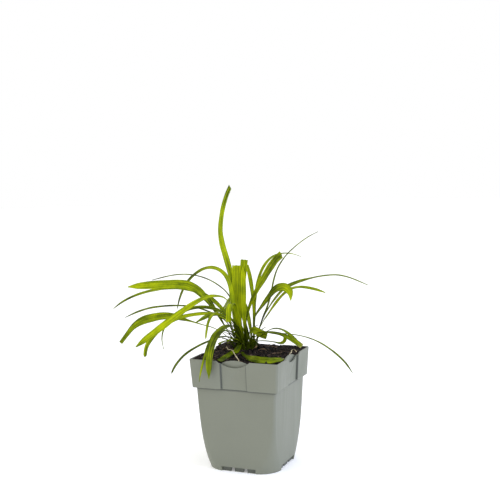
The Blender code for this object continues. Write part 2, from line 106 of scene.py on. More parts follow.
# Label slot at the top of each side
SMILE_HALF = 17.0
SMILE_DEPTH = 6.5
TONGUE_HALF = 13.4
TONGUE_INNER = 39.4
TONGUE_THICK = 1.2
TONGUE_RISE = 3.0
SLOT_HALF = 12.2
SLOT_WIDTH = 1.1
SLOT_FOOT = 88.0
POCKET_FOOT = 84.0

# Soil
SOIL_LEVEL = 107.2
SOIL_TILT = 0.9
MOUND = 3.2
MOUND_PLACE = (-10.0, 15.0)
MOUND_SPREAD = 15.0
HOLLOW = 2.4
HOLLOW_PLACE = (20.0, -10.0)
HOLLOW_SPREAD = 16.0
SOIL_EDGE = 43.0
SOIL_TOP_FROM = POCKET_FOOT + 15
SOIL_SKIN = 0.3
SOIL_CUTS = 4
LEAST_CRUMB = 0.45
CRUMB_SPREAD = 1.3
FIBRE_STEPS = 5
FIBRE_TAPER = (0.5, 1, 1, 0.9, 0.8, 0.4)

# Leaves
SHEATH_RADIUS = 2.3
SHEATH_TOP = 7.0
SHEATH_DEPTH = 4.0
SHEATH_SIDES = 24
SHEATH_LEVELS = 8
ROOT_RING = 0.9
ROOT_LIFT = 0.3
ROOT_STEP = 0.6
SEGMENT = 10.0
LEAST_SEGMENTS = 12
BLADE_ROW = 2.5
KEEL = 0.22
MARGIN_WAVE = 0.05
CUT_WAVE = 0.15
DRY_FROM = 0.94
DRY_FADE = 0.05
POINT_LENGTH = 11.0
BLUNT_LENGTH = 3.5
SLANT_LENGTH = 9.0
SLANT = 3.0
LEAST_WIDTH = 0.6


class Leaf(NamedTuple):
    """One strap-like leaf. Widths, rises, rolls and tones stand at equal steps from root to tip.

    A tone of 0 is mature green and 1 is fresh green, standing partly for the leaf's age and partly for
    painted shade and light; dry is how far the tip has dried.
    """

    heading: float
    length: float
    widths: tuple
    rises: tuple
    rolls: tuple
    tones: tuple
    tip: str = "point"
    dry: float = 0.0


class Shoot(NamedTuple):
    """A sheath of leaf bases that stands in the soil, and the leaves that leave it."""

    name: str
    place: tuple
    leaves: tuple


SHOOTS = (
    Shoot("shoot_left", (-17.5, 10.5), (
        Leaf(196, 141, (1.5, 2.5, 4, 5.5, 7.8, 8.3, 8.2, 7, 4), (60, 61, 60, 52, 36, 2, -1, -4, -5),
            (0, -15, -60, -80, -85, -85), (0.15, 0.25, 0.7, 0.65)),
        Leaf(182, 173, (1.5, 3, 4.5, 5.4, 5, 4, 3.2, 2.6, 2), (76, 70, 46, 23, 6, -7, -15, -25, -38),
            (0, -25, -25, -45, -55), (0.3, 0.45, 0.4)),
        Leaf(165, 163, (3, 4.6, 4.8, 4.4, 4.2, 4.3, 4.2, 3.7, 2.5), (86, 84, 82, 72, 20, -19, -40, -61, -74),
            (0, -25, -30, -60, -75), (0.5, 0.8, 0.45, 0.25)),
        Leaf(224, 154, (1.5, 2.5, 3.5, 4.5, 5.5, 6.1, 6.8, 6.4, 5), (86, 82, 73, 12, -21, -31, -33, -33, -34),
            (0, -10, -30, -50, -50), (0.3, 0.6, 0.8, 0.7)),
        Leaf(205, 134, (1.5, 2, 2, 2.2, 5.4, 7, 7.8, 4.6, 3.4), (50, 43, 20, 18, 17, -5, -18, -48, -52),
            (0, 0, -20, -75, -85, -85), (0.2, 0.35, 0.6, 0.25), "cut"),
        Leaf(212, 132, (2.6, 3.6, 4.2, 4.6, 5, 4.2, 4.5, 4.6, 3.6), (78, 74, 36, 3, -6, -21, -38, -56, -86),
            (0, -20, -30, -50, -60), (0.3, 0.7, 0.6, 0.55), "blunt"),
        Leaf(188, 139, (1.2, 2, 2.2, 2.2, 2.2, 2.4, 2.6, 2.6, 2), (72, 66, 29, 18, 5, -3, -9, -20, -26),
            (0, -20, -35), (0.3, 0.3)),
        Leaf(207, 123, (1.2, 2.5, 3, 3.4, 3.2, 2.4, 1.8, 1.4, 1), (78, 74, 54, 17, -2, -29, -38, -77, -104),
            (0, -40, -60, -60), (0.3, 0.3)),
        Leaf(168, 157, (1.2, 1.6, 1.8, 1.8, 1.8, 1.8, 1.8, 1.8, 1.6), (86, 84, 80, 38, 20, 6, -5, -13, -14),
            (0, 0, -15, -30), (0.25, 0.25)),
    )),
    Shoot("shoot_front", (-11.0, 7.5), (
        Leaf(250, 88, (1.4, 2.4, 3.2, 3.6, 4.2, 4.2, 3.8, 3.2, 2.2), (76, 69, 52, 33, -10, -66, -80), (0, 0),
            (0.3, 0.4, 0.55), "blunt"),
        Leaf(238, 75, (1.4, 2.4, 3, 3.2, 3.6, 3.6, 2.6), (76, 71, 52, 37, 7, -17, -22), (0, -20, -45, -50),
            (0.4, 0.4)),
        Leaf(272, 76, (1.5, 3, 5, 5.5, 5.5, 5.5, 5.5), (70, 70, 64, 62, 39, -60, -85), (0, 0), (0.7, 0.65),
            "cut"),
        Leaf(232, 91, (1.5, 3, 3.6, 3.3, 2.9, 2.8, 2.8, 2.7, 2.2), (56, 24, -8, -16, -24, -42, -62),
            (0, -5, -18, -20), (0.1, 0.0), "blunt"),
        Leaf(259, 104, (2, 5, 7.5, 8.5, 9, 9, 8.5, 7, 4.5), (72, 64, 7, -18, -52, -83, -90), (0, 0),
            (0.1, 0.1, 0.2, 0.35)),
        Leaf(252, 97, (1.5, 3.5, 4.5, 4, 3, 2.8, 2.6, 2.4, 2), (66, 44, 8, -21, -61, -67, -76), (0, 0),
            (0.1, 0.1, 0.15)),
        Leaf(228, 28, (1.5, 3, 4, 4), (50, 25, 0, -25), (0, 0), (0.6, 0.6), "cut"),
        Leaf(252, 26, (1.5, 3, 4, 3), (60, 35, 10, -30), (0, 0), (0.5, 0.5)),
        Leaf(266, 52, (2.4, 4.4, 5.6, 5.8, 5.8, 5.4), (85, -35, 1, -6, -7, 1), (0, -25, -9, -15),
            (0.3, 0.3, 0.2), "cut"),
        Leaf(245, 33, (1.5, 2.5, 3.5, 4.2, 4.2), (90, 90, 91, 86, 25, -30, -31), (0, 0, 30, 60, 60),
            (0.25, 0.55, 0.5), "cut"),
    )),
    Shoot("shoot_middle", (-11.0, 16.0), (
        Leaf(172, 81, (2.6, 3.2, 4, 5.5, 8, 8.8, 9, 9, 9), (72, 75, 81, 86, 90, 91, 91), (-72, -72),
            (0.65, 0.9, 0.8), "cut"),
        Leaf(25, 79, (2.4, 3, 3.6, 4.6, 5.2, 5.2, 5), (97, 95, 91, 89, 91, 92), (75, 75), (0.8, 0.9, 1.05)),
        Leaf(150, 85, (1.6, 2, 2.6, 3.6, 4.8, 6.2, 7.2), (84, 87, 88, 90, 95, 101), (-35, -35),
            (0.55, 0.7, 0.6), "cut"),
        Leaf(350, 104, (1.6, 2, 3, 4.5, 5, 6.8, 8.1, 8.4, 7.4), (94, 92, 79, 68, 60, 56, 55, 50, 36),
            (10, 65, 75, 72), (0.3, 0.5, 0.35), "cut"),
    )),
    Shoot("shoot_right", (-3.5, 18.0), (
        Leaf(132, 84, (1.6, 2, 2.4, 2.6, 2.7, 3.3, 4, 3.9, 3.2), (94, 95, 93, 81, 73, 61, 46), (-20, -20),
            (0.4, 0.4, 0.6), "cut"),
        Leaf(28, 135, (1.2, 2.6, 3.6, 3.6, 3.1, 2.4, 1.6, 1.2, 0.8), (76, 73, 67, 75, 76, 59, 43, 34, 23),
            (20, 20), (0.3, 0.3)),
        Leaf(350, 93, (1.5, 2.5, 3.6, 4.8, 5.8, 6.8, 7.4, 7.4, 5.6), (92, 91, 84, 53, 50, 49, 24, -40, -105),
            (0, 30, 56, 68, 62), (0.2, 0.3, 0.35, 0.9)),
        Leaf(14, 150, (1.2, 2.6, 4, 5, 5.6, 1.9, 1.5, 1.3, 1), (76, 71, 58, 49, 22, 13, 3, -19, -25),
            (0, 30, 30), (0.3, 0.45, 0.3)),
        Leaf(0, 108, (1.2, 2.6, 3.8, 4.2, 4.2, 3.8, 3.2, 3.6, 3.2), (76, 73, 57, 54, 50, 35, 4, -11, -18),
            (0, 20, 45, 30, 30), (0.4, 0.8, 0.7, 0.6)),
    )),
    Shoot("shoot_low", (-5.5, 9.5), (
        Leaf(345, 39, (2, 3, 4.5, 6.5, 7.2, 7), (88, 88, 97, 25, -20, -15, -5), (0, 10, 60, 72, 72),
            (0.4, 0.6, 0.5), "cut"),
        Leaf(352, 70, (1.6, 2.4, 3.4, 4, 4, 3.4, 3.8, 4.5, 4.6), (86, 66, 30, 3, -1, -9, -21, -27, -31),
            (0, 0, 5, 30, 50, 50), (0.2, 0.3, 0.45), "cut", dry=0.5),
        Leaf(332, 153, (1.2, 1.6, 1.8, 1.8, 1.6, 1.8, 2.1, 2.4, 2), (68, 25, 8, 4, 1, -7, -18, -28, -46),
            (0, 0), (0.25, 0.25)),
        Leaf(15, 43, (1.4, 2, 2.6, 2.8, 3, 3.2, 4, 4.2), (70, 25, 3, -3, -8, -12, 50, 112),
            (0, 0, 0, 0, 0, 15, 50, 70), (0.2, 0.35, 0.4, 0.8), "cut"),
        Leaf(345, 75, (1.4, 2, 2.4, 2.4, 2.2, 2, 2.8, 3.3, 3), (72, 42, 33, 33, 14, -10, -30, -36, -43),
            (0, 30), (0.35, 0.35)),
    )),
    Shoot("shoot_back", (-8.0, 24.5), (
        Leaf(135, 118, (1.5, 4, 6.5, 6.5, 6), (84, 66, 30, -12, -40, -60), (0, 10), (0.6, 0.6)),
        Leaf(146, 96, (1.5, 4, 5.5, 5.5, 5), (86, 74, 40, -5, -35, -50), (0, -15), (0.7, 0.7)),
        Leaf(126, 104, (1.5, 3, 4.5, 4.5, 4), (80, 58, 22, -14, -38, -58), (0, 10), (0.5, 0.5)),
        Leaf(62, 134, (1.4, 2.5, 3.4, 3.8, 3.7, 3.5, 2.4, 1.8, 1.2), (84, 84, 87, 79, 66, 42, 10, -9, -22),
            (0, 20), (0.3, 0.55, 0.5)),
        Leaf(185, 166, (2, 3, 4.5, 5.5, 6.2, 6.3, 5.4, 5, 4.2), (74, 74, 74, 75, 75, 76, 95, 106, 118),
            (-55, -55, -50, -40, -45), (0.35, 0.55, 0.65, 0.5), "slant"),
    )),
)

# Loose leaf and bare roots: points as x, y and height above the soil
FALLEN_LEAF = (
    (-8, -5, 1.3), (3, -17.5, 2.6), (13.5, -27.5, 3.6), (24, -32, 3.8),
    (32.5, -28, 3.7), (37.5, -18, 2.9), (38, -9, 1.8),
)
FALLEN_ROLLS = (20, 35, 48, 50, 45, 30, 20)
FALLEN_WIDTHS = (2, 4, 6, 6.4, 6.2, 4.5, 1.5)
FALLEN_TONES = (0.1, 0.2, 0.1)
FRONT_ROOT = (
    (-30, 10, 1.1), (-25, 2, 1.3), (-20, -10, 4.4), (-12, -17, 5.6),
    (-4.5, -26.5, 4.2), (1, -32, 1.3), (3, -37, 1.1),
)
RIGHT_ROOT = ((37, 8, 1.1), (36.5, 15, 1.1), (34, 24, 1.1), (37.5, 22.5, 1.1), (41, 18, 1.1))
ROOT_RADIUS = 0.5
ROOT_STEPS = 48
ROOT_WAVE = 0.9

# Dry scraps of old sheath beside the crown: points as x, y and height above the soil
SCRAPS = (
    ((-1, 6, 0.8), (2, 5, 3.5), (4, 6, 5.5), (3, 8, 7.0)),
    ((4, 10, 0.6), (8, 12, 1.6), (12, 12, 0.9)),
    ((-24, 4, 0.6), (-28, 1, 1.5), (-31, 2, 0.7)),
)
SCRAP_WIDTHS = (1.2, 1.5, 0.8)
SCRAP_ROLLS = (10, 40, 70)
SCRAP_THICKNESS = 0.25

# Withered stubs of old leaves round the crown: foot as x and y, then heading, length and rise of each
STUBS = (
    (-16, 6, 215, 26, 60), (-18, 9, 200, 24, 52), (-14, 4, 240, 22, 48), (-20, 7, 225, 20, 40),
    (-12, 3, 262, 14, 56), (-19, 12, 180, 24, 62), (-9, 4, 285, 12, 55), (-5, 6, 305, 12, 62),
    (-2, 10, 330, 15, 66), (0, 14, 350, 20, 74), (-1, 20, 20, 24, 76), (-15, 19, 140, 22, 72),
    (-22, 11, 205, 18, 38), (-17, 3, 232, 15, 34), (-6, 16, 10, 26, 84), (-9, 12, 270, 24, 84),
)
STUB_WIDTHS = (3.0, 4.2, 4.2, 3.4, 1.8)


# Settings

def colour_property(name, description, default):
    return FloatVectorProperty(
        name=name, description=description, subtype="COLOR", size=3, min=0, max=1, default=default
    )


def number_property(name, description, default, **kind):
    return FloatProperty(name=name, description=description, default=default, **kind)


class PotSettings(bpy.types.PropertyGroup):
    colour: colour_property("Plastic", "Colour of the moulded plastic", (0.194, 0.205, 0.159))
    roughness: number_property("Roughness", "How dull the plastic is", 0.5, subtype="FACTOR", min=0, max=1)
    edge_round: number_property("Edge rounding", "Radius of the moulded edges", 0.0005, unit="LENGTH")
    corner_steps: IntProperty(name="Corner steps", description="Segments in a rounded corner", default=14)


class SoilSettings(bpy.types.PropertyGroup):
    colour: colour_property("Soil", "Main colour of the potting soil", (0.0055, 0.0040, 0.0035))
    relief: number_property("Relief", "Height of the lumps in the surface", 0.0012, unit="LENGTH")
    crumbs: IntProperty(name="Crumbs", description="Number of loose crumbs", default=420)
    fibres: IntProperty(name="Fibres", description="Number of loose fibres", default=170)


class LeafSettings(bpy.types.PropertyGroup):
    fresh: colour_property("Fresh green", "Colour of a young, well lit leaf", (0.40, 0.465, 0.001))
    middle: colour_property("Middle green", "Colour of most of the blade", (0.185, 0.245, 0.001))
    # Mature green also serves as painted shade on shaded leaves and at the blade's base
    mature_and_shaded_green: colour_property("Mature green", "Colour of an older leaf", (0.040, 0.062, 0.001))
    thickness: number_property("Thickness", "Thickness of a blade", 0.00045, unit="LENGTH")
    vein_pitch: number_property("Vein pitch", "Distance between parallel veins", 0.00055, unit="LENGTH")


class StageSettings(bpy.types.PropertyGroup):
    key_power: number_property("Key light", "Power of the main light", 10.5, unit="POWER")
    fill_power: number_property("Fill light", "Power of the second light", 3.0, unit="POWER")
    surround: number_property("Surround", "Brightness of the white surround", 1.0)
    lens: number_property("Lens", "Focal length of the camera", 66.29, unit="CAMERA")


# Mesh helpers

def scale(bm, factor):
    bmesh.ops.scale(bm, vec=(factor, factor, factor), verts=bm.verts)


def mesh_from(name, bm):
    mesh = bpy.data.meshes.new(name)
    bm.to_mesh(mesh)
    bm.free()
    return mesh


def add_object(name, data):
    made = bpy.data.objects.new(name, data)
    bpy.context.scene.collection.objects.link(made)
    return made


def new_piece(name, bm, material, replaces=(), smooth=50):
    """Put a bmesh that is in millimetres into the scene, in metres, as a piece of the object."""
    scale(bm, MM)
    piece = add_object(name, mesh_from(name, bm))
    piece.data.materials.append(material)
    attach(piece, BODY)
    if replaces:
        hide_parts(*replaces)
    if smooth:
        smooth_by_angle(piece, smooth)
    return piece


def smooth_by_angle(piece, degrees):
    piece.data.shade_smooth()
    piece.data.set_sharp_from_angle(angle=radians(degrees))


def combine(target, operation, tools):
    """Cut or join target with all the tools at once, then remove the tools."""
    group = bpy.data.collections.new("tools")
    bpy.context.scene.collection.children.link(group)
    for tool in tools:
        scale(tool, MM)
        group.objects.link(bpy.data.objects.new("tool", mesh_from("tool", tool)))
    step = target.modifiers.new(operation.lower(), "BOOLEAN")
    step.operation = operation
    step.operand_type = "COLLECTION"
    step.collection = group
    step.solver = "EXACT"
    material = target.data.materials[0]
    depsgraph = bpy.context.evaluated_depsgraph_get()
    target.data = bpy.data.meshes.new_from_object(target.evaluated_get(depsgraph))
    target.modifiers.clear()
    target.data.materials.clear()
    target.data.materials.append(material)
    for tool in list(group.objects):
        bpy.data.objects.remove(tool)
    bpy.data.collections.remove(group)


def spread(values, t):
    """Smooth curve through values that stand at equal steps from t = 0 to t = 1."""
    last = len(values) - 1
    place = min(max(t, 0.0), 1.0) * last
    i = min(int(place), last - 1)
    f = place - i
    start = values[i]
    end = values[i + 1]
    slope_in = (end - values[max(i - 1, 0)]) / 2
    slope_out = (values[min(i + 2, last)] - start) / 2
    blend = f * f * (3 - 2 * f)
    bend = slope_in * f * (1 - f) ** 2 - slope_out * f * f * (1 - f)
    return start + (end - start) * blend + bend


def smooth_step(t):
    t = min(max(t, 0.0), 1.0)
    return t * t * (3 - 2 * t)


def loft(bm, outlines):
    """Closed solid: one cap face extruded from outline to outline."""
    first = [bm.verts.new(point) for point in outlines[0]]
    cap = bm.faces.new(first)
    for outline in outlines[1:]:
        cap = bmesh.ops.extrude_discrete_faces(bm, faces=[cap])["faces"][0]
        for vert, point in zip(cap.verts, outline):
            vert.co = point
    bm.faces.new(reversed(first))
    bmesh.ops.recalc_face_normals(bm, faces=bm.faces)
    return bm


def box(low, high):
    bm = bmesh.new()
    size = Vector(high) - Vector(low)
    middle = (Vector(high) + Vector(low)) / 2
    bmesh.ops.create_cube(bm, size=1.0, matrix=Matrix.Translation(middle) @ Matrix.Diagonal((*size, 1)))
    return bm


def rotation(degrees, axis):
    return Matrix.Rotation(radians(degrees), 3, axis)


def toward(heading):
    """Level unit vector at a heading."""
    angle = radians(heading)
    return Vector((cos(angle), sin(angle), 0))


def turn_to_side(bm, side):
    """Turn a shape made for the -Y side of the pot to another side."""
    bmesh.ops.rotate(bm, cent=(0, 0, 0), matrix=rotation(90 * side, "Z"), verts=bm.verts)


def cylinder(bm, radius, depth, segments, place):
    bmesh.ops.create_cone(
        bm, cap_ends=True, segments=segments, radius1=radius, radius2=radius, depth=depth, matrix=place
    )
    return bm


# Material helpers

class Paint:
    """A Principled material and short ways to add nodes to it."""

    def __init__(self, name, roughness=0.5, specular=0.5):
        self.material = bpy.data.materials.new(name)
        self.material.use_nodes = True
        self.tree = self.material.node_tree
        self.shader = self.tree.nodes["Principled BSDF"]
        self.shader.inputs["Roughness"].default_value = roughness
        self.shader.inputs["Specular IOR Level"].default_value = specular

    def add(self, kind, inputs=None, **settings):
        node = self.tree.nodes.new("ShaderNode" + kind)
        for name, value in settings.items():
            setattr(node, name, value)
        for key, value in (inputs or {}).items():
            self.feed(value, node.inputs[key])
        return node

    def feed(self, value, socket):
        if isinstance(value, bpy.types.NodeSocket):
            self.tree.links.new(value, socket)
        else:
            socket.default_value = value

    def math(self, operation, a, b=0.0):
        return self.add("Math", {0: a, 1: b}, operation=operation).outputs[0]

    def plus(self, a, b):
        return self.math("ADD", a, b)

    def times(self, product, *factors):
        for factor in factors:
            product = self.math("MULTIPLY", product, factor)
        return product

    def ranged(self, value, low, high, to_low=0.0, to_high=1.0):
        inputs = {"Value": value, "From Min": low, "From Max": high, "To Min": to_low, "To Max": to_high}
        return self.add("MapRange", inputs).outputs[0]

    def above(self, value, low, high):
        """Rises from 0 to 1 between two places in millimetres."""
        return self.ranged(value, low * MM, high * MM)

    def below(self, value, low, high):
        """Falls from 1 to 0 between two places in millimetres."""
        return self.ranged(value, low * MM, high * MM, 1.0, 0.0)

    def mix(self, share, a, b):
        node = self.add("Mix", data_type="RGBA")
        for value, index in ((share, 0), (a, 6), (b, 7)):
            self.feed(value, node.inputs[index])
        return node.outputs[2]

    def place(self, scale=(1, 1, 1)):
        where = self.add("TexCoord").outputs["Object"]
        return self.add("Mapping", {"Vector": where, "Scale": scale}).outputs[0]

    def attribute(self, name):
        return self.add("Attribute", attribute_name=name).outputs["Fac"]

    def noise(self, where, scale, detail=3.0, roughness=0.55):
        inputs = {"Vector": where, "Scale": scale, "Detail": detail, "Roughness": roughness}
        return self.add("TexNoise", inputs).outputs["Fac"]

    def cells(self, where, scale):
        return self.add("TexVoronoi", {"Vector": where, "Scale": scale}).outputs["Distance"]

    def bump(self, height, strength, distance):
        bump = self.add("Bump", {"Height": height, "Strength": strength, "Distance": distance})
        self.feed(bump.outputs[0], self.shader.inputs["Normal"])

    def finish(self, colour, roughness=None):
        self.feed(colour, self.shader.inputs["Base Color"])
        if roughness is not None:
            self.feed(roughness, self.shader.inputs["Roughness"])
        return self.material


def shade(colour, factor=1.0):
    return (*(min(1.0, part * factor) for part in colour), 1.0)


# Painted shade and dust on the pot: two colours, and how strongly each kind shows
# Near-black colour of the painted shade in the grooves, under the collar and at the foot
PAINTED_SHADE_COLOUR = (0.035, 0.042, 0.04, 1.0)
DUST = (0.10, 0.075, 0.05, 1.0)
GROOVE_PLACE = PANEL_HALF + 0.3
GROOVE_SHADE = 0.62
COLLAR_SHADE = 0.7
FOOT_SHADE = 0.6
RIM_DUST = 0.35


def pot_plastic(settings):
    """Satin plastic; painted shade darkens the grooves beside the tabs, under the collar and at the foot, and
    dust specks the rim.
    """
    paint = Paint("pot_plastic", settings.roughness, 0.35)
    where = paint.place()
    broad = paint.noise(where, 28.0)
    flow = paint.noise(paint.place((150, 150, 14)), 1.0, 4.0)
    colour = paint.mix(broad, shade(settings.colour, 0.95), shade(settings.colour, 1.04))
    colour = paint.mix(paint.ranged(flow, 0.55, 0.8, 0.0, 0.1), colour, shade(settings.colour, 1.2))
    x, y, height = paint.add("SeparateXYZ", {0: where}).outputs
    span_x = paint.math("ABSOLUTE", x)
    span_y = paint.math("ABSOLUTE", y)
    across = paint.math("MINIMUM", span_x, span_y)
    outward = paint.math("MAXIMUM", span_x, span_y)
    off_groove = paint.math("ABSOLUTE", paint.math("SUBTRACT", across, GROOVE_PLACE * MM))
    # Painted shade: the grooves beside the tabs, a band under the collar and the set-back wall at the foot
    # are darkened
    groove = paint.times(
        paint.below(off_groove, 0.4, 0.9),
        paint.above(height, COLLAR_FOOT - 0.1, COLLAR_FOOT + 0.1),
        paint.above(outward, BODY_TOP_HALF - 0.3, BODY_TOP_HALF + 0.2),
        GROOVE_SHADE,
    )
    under_collar = paint.times(
        paint.above(height, COLLAR_FOOT - 2.3, COLLAR_FOOT - 0.4),
        paint.below(height, COLLAR_FOOT + 0.1, COLLAR_FOOT + 0.3),
        COLLAR_SHADE,
    )
    foot_gap = paint.times(
        paint.below(height, FLOOR_BOTTOM - 0.1, FLOOR_BOTTOM + 0.1),
        paint.below(across, FOOT_GAP_HALF - 0.2, FOOT_GAP_HALF),
        paint.below(outward, BODY_FOOT_HALF - 1.3, BODY_FOOT_HALF - 0.7),
        FOOT_SHADE,
    )
    # The painted shade is mixed into the plastic's colour here
    painted_shade = paint.math("MAXIMUM", paint.math("MAXIMUM", groove, under_collar), foot_gap)
    colour = paint.mix(painted_shade, colour, PAINTED_SHADE_COLOUR)
    near_rim = paint.above(height, POT_HEIGHT - 3.8, POT_HEIGHT + 0.2)
    speck = paint.ranged(paint.noise(where, 420.0, 4.0, 0.7), 0.56, 0.66)
    colour = paint.mix(paint.times(near_rim, speck, RIM_DUST), colour, DUST)
    paint.bump(paint.noise(where, 1500.0, 2.0), 0.12, 0.0002)
    roughness = paint.ranged(flow, 0.3, 0.7, settings.roughness - 0.07, settings.roughness + 0.07)
    return paint.finish(colour, roughness)


def potting_soil(settings):
    """Nearly black peat with brown lumps and pale flecks."""
    paint = Paint("potting_soil", 0.92, 0.15)
    where = paint.place()
    lumps = paint.noise(where, 240.0, 5.0, 0.7)
    grit = paint.cells(where, 700.0)
    east = paint.add("SeparateXYZ", {0: where}).outputs[0]
    drier = paint.plus(lumps, paint.ranged(east, -0.03, 0.005, 0.08, 0.0))
    dark, brown = shade(settings.colour, 0.5), shade(settings.colour, 9.0)
    colour = paint.mix(paint.ranged(drier, 0.5, 0.68), dark, brown)
    pale = paint.ranged(paint.noise(where, 820.0, 2.0), 0.63, 0.70, 0.0, 0.8)
    colour = paint.mix(pale, colour, (0.17, 0.115, 0.075, 1.0))
    paint.bump(paint.plus(lumps, paint.times(grit, 0.4)), 1.0, 0.0012)
    return paint.finish(colour)


def plant_fibre():
    paint = Paint("plant_fibre", 0.85, 0.2)
    lengthwise = paint.noise(paint.place(), 120.0, 2.0)
    shades = (0.022, 0.014, 0.009, 1.0), (0.24, 0.16, 0.10, 1.0)
    return paint.finish(paint.mix(paint.ranged(lengthwise, 0.45, 0.62), *shades))


def leaf_blade(settings):
    """Parallel veins and streaks follow the blade through its across and along attributes."""
    paint = Paint("leaf_blade", 0.45, 0.08)
    across = paint.attribute("across")
    along = paint.attribute("along")
    tone = paint.attribute("tone")
    dry = paint.attribute("dry")
    pitch = settings.vein_pitch / MM
    vein = paint.math("SINE", paint.times(across, tau / pitch))
    course = {0: paint.times(across, 0.8), 1: paint.times(along, 0.03), 2: paint.attribute("seed")}
    streak = paint.noise(paint.add("CombineXYZ", course).outputs[0], 1.0, 3.0, 0.6)
    patch = paint.noise(paint.place(), 75.0, 3.0, 0.6)
    # The tone is partly the leaf's age and partly painted shade and light: low tones darken shaded leaves,
    # high tones brighten lit ones
    share = paint.plus(tone, paint.ranged(streak, 0.3, 0.7, -0.45, 0.45))
    share = paint.plus(share, paint.ranged(patch, 0.3, 0.7, -0.28, 0.28))
    share = paint.plus(share, paint.times(vein, 0.05))
    mature_and_shaded_green, middle = shade(settings.mature_and_shaded_green), shade(settings.middle)
    colour = paint.mix(paint.ranged(share, 0.0, 0.55), mature_and_shaded_green, middle)
    colour = paint.mix(paint.ranged(share, 0.55, 1.15), colour, shade(settings.fresh))
    # Painted shade: the lowest 26 mm of each blade and the sheaths, down in the crown, are darkened towards
    # the mature and shaded green
    base = paint.ranged(along, 4.0, 26.0, 0.8, 0.0)
    colour = paint.mix(base, colour, shade(settings.mature_and_shaded_green, 0.8))
    fleck = paint.ranged(paint.noise(paint.place(), 520.0, 3.0, 0.7), 0.66, 0.74, 0.0, 0.4)
    colour = paint.mix(fleck, colour, shade(settings.mature_and_shaded_green, 0.55))
    colour = paint.mix(dry, colour, (0.46, 0.36, 0.17, 1.0))
    paint.bump(paint.plus(paint.times(vein, 0.5), streak), 0.4, 0.00015)
    return paint.finish(colour, paint.ranged(streak, 0.3, 0.7, 0.38, 0.52))


def bare_root():
    paint = Paint("bare_root", 0.7, 0.3)
    where = paint.place()
    blotch = paint.noise(where, 220.0)
    colour = paint.mix(paint.ranged(blotch, 0.45, 0.65), (0.74, 0.66, 0.42, 1.0), (0.36, 0.25, 0.13, 1.0))
    paint.bump(paint.noise(where, 900.0, 2.0), 0.3, 0.0002)
    return paint.finish(colour)


def dry_sheath():
    paint = Paint("dry_sheath", 0.75, 0.2)
    vein = paint.math("SINE", paint.times(paint.attribute("across"), 9.0))
    patch = paint.noise(paint.place(), 260.0)
    share = paint.plus(paint.times(vein, 0.18), patch)
    colour = paint.mix(paint.ranged(share, 0.3, 0.75), (0.045, 0.026, 0.015, 1.0), (0.26, 0.17, 0.09, 1.0))
    paint.bump(vein, 0.3, 0.0001)
    return paint.finish(colour)


def pale_floor():
    paint = Paint("pale_floor", 0.9, 0.1)
    white = (0.97, 0.97, 0.97, 1.0)
    cloud = paint.noise(paint.place(), 3.0, 2.0)
    paint.feed(white, paint.shader.inputs["Emission Color"])
    paint.feed(0.22, paint.shader.inputs["Emission Strength"])
    return paint.finish(paint.mix(cloud, (0.95, 0.95, 0.95, 1.0), white))


# Pot

def corner_radius(z):
    """The body's corners are nearly square at the collar and wide at the foot."""
    drop = max(0.0, 1.0 - z / COLLAR_FOOT)
    return TOP_CORNER_RADIUS + (FOOT_CORNER_RADIUS - TOP_CORNER_RADIUS) * drop**3.6


def body_half(z):
    return BODY_FOOT_HALF + (BODY_TOP_HALF - BODY_FOOT_HALF) * z / COLLAR_FOOT


def collar_slope():
    return (RIM_HALF - COLLAR_FOOT_HALF) / COLLAR_HEIGHT


def collar_half(z):
    return RIM_HALF - collar_slope() * (POT_HEIGHT - z)


def square_outline(half, radius, z, steps, panel_half=PANEL_HALF, recess=0.0):
    """Rounded square, anticlockwise, with the middle of each side set in by recess."""
    points = []
    soften = min(0.35, recess / 4)
    for side in range(4):
        turn = rotation(90 * side, "Z")
        profile = []
        centre = -half + radius
        for step in range(steps + 1):
            angle = radians(180 + 90 * step / steps)
            profile.append((centre + radius * cos(angle), centre + radius * sin(angle)))
        step_in = [
            (-panel_half - PANEL_STEP - soften, -half),
            (-panel_half - PANEL_STEP + soften / 2, -half + soften),
            (-panel_half - soften / 2, -half + recess - soften),
            (-panel_half + soften, -half + recess),
        ]
        profile += [*step_in, *((-x, y) for x, y in reversed(step_in))]
        points += [turn @ Vector((x, y, z)) for x, y in profile]
    return points


def tab_cut(z):
    """The lower inner corners of the collar's tabs are round, so the panel widens there."""
    rise = z - COLLAR_FOOT
    if rise >= TAB_CORNER:
        return 0.0
    return TAB_CORNER - sqrt(TAB_CORNER**2 - (TAB_CORNER - rise) ** 2)


def quarter_turn(radius, steps=3):
    """Inset and drop of a rounded edge, from the side wall to the top."""
    for step in range(steps + 1):
        angle = radians(90 * step / steps)
        yield radius * (1 - cos(angle)), radius * (1 - sin(angle))


